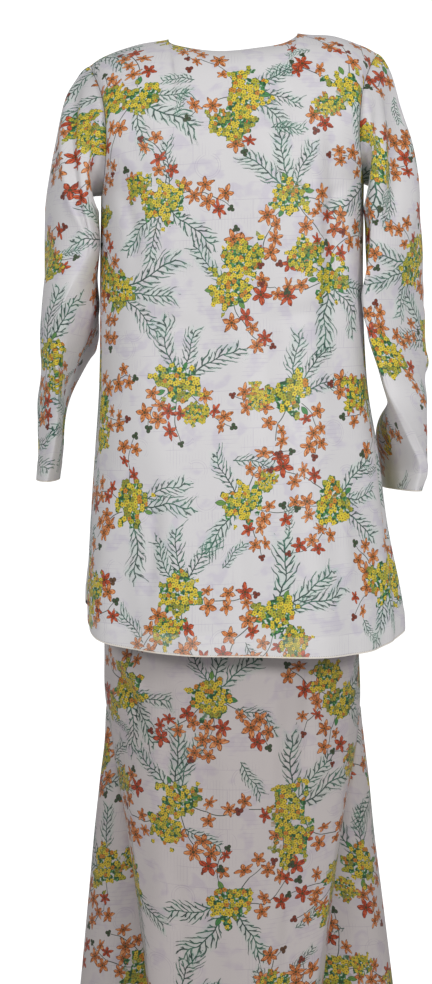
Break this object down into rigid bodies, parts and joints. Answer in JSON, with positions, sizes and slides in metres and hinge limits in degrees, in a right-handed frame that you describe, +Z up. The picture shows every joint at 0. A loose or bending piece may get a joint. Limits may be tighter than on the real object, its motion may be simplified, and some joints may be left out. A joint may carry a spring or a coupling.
{
  "type": "baju kurung",
  "caption": "Long-sleeved knee-length tunic with side gores and a round neck, worn over a long narrow skirt that flares below the knee, in flower-printed satin crepe.",
  "frame": {"origin": "midway between the two points where the shoulder seams meet the neck, at their level, where the wearer's shoulders hold the garment", "axes": "+Z up, from the hem to the neck; -Y the garment's back, the side that the picture shows; +X to the right in the picture"},
  "size_m": [0.5576, 0.3576, 1.3743],
  "materials": {
    "back_panel_cloth": "soft satin crepe with a printed flower design",
    "front_panel_cloth": "soft satin crepe with a printed flower design",
    "gore_left_cloth": "soft satin crepe with a printed flower design",
    "gore_right_cloth": "soft satin crepe with a printed flower design",
    "sleeve_left_cloth": "soft satin crepe with a printed flower design",
    "sleeve_right_cloth": "soft satin crepe with a printed flower design",
    "skirt_back_cloth": "soft satin crepe with a printed flower design",
    "skirt_front_cloth": "soft satin crepe with a printed flower design",
    "insert_left_cloth": "soft satin crepe with a printed flower design",
    "insert_right_cloth": "soft satin crepe with a printed flower design",
    "waistband_cloth": "soft satin crepe with a printed flower design",
    "neck_button_shell": "polished",
    "neck_loop_cord": "thin covered cord"
  },
  "bodies": {
    "root": {"back_panel": "back_panel_cloth", "front_panel": "front_panel_cloth", "gore_left": "gore_left_cloth", "gore_right": "gore_right_cloth", "sleeve_left": "sleeve_left_cloth", "sleeve_right": "sleeve_right_cloth", "skirt_back": "skirt_back_cloth", "skirt_front": "skirt_front_cloth", "insert_left": "insert_left_cloth", "insert_right": "insert_right_cloth", "waistband": "waistband_cloth", "neck_button": "neck_button_shell", "neck_loop": "neck_loop_cord"}
  },
  "joints": []
}
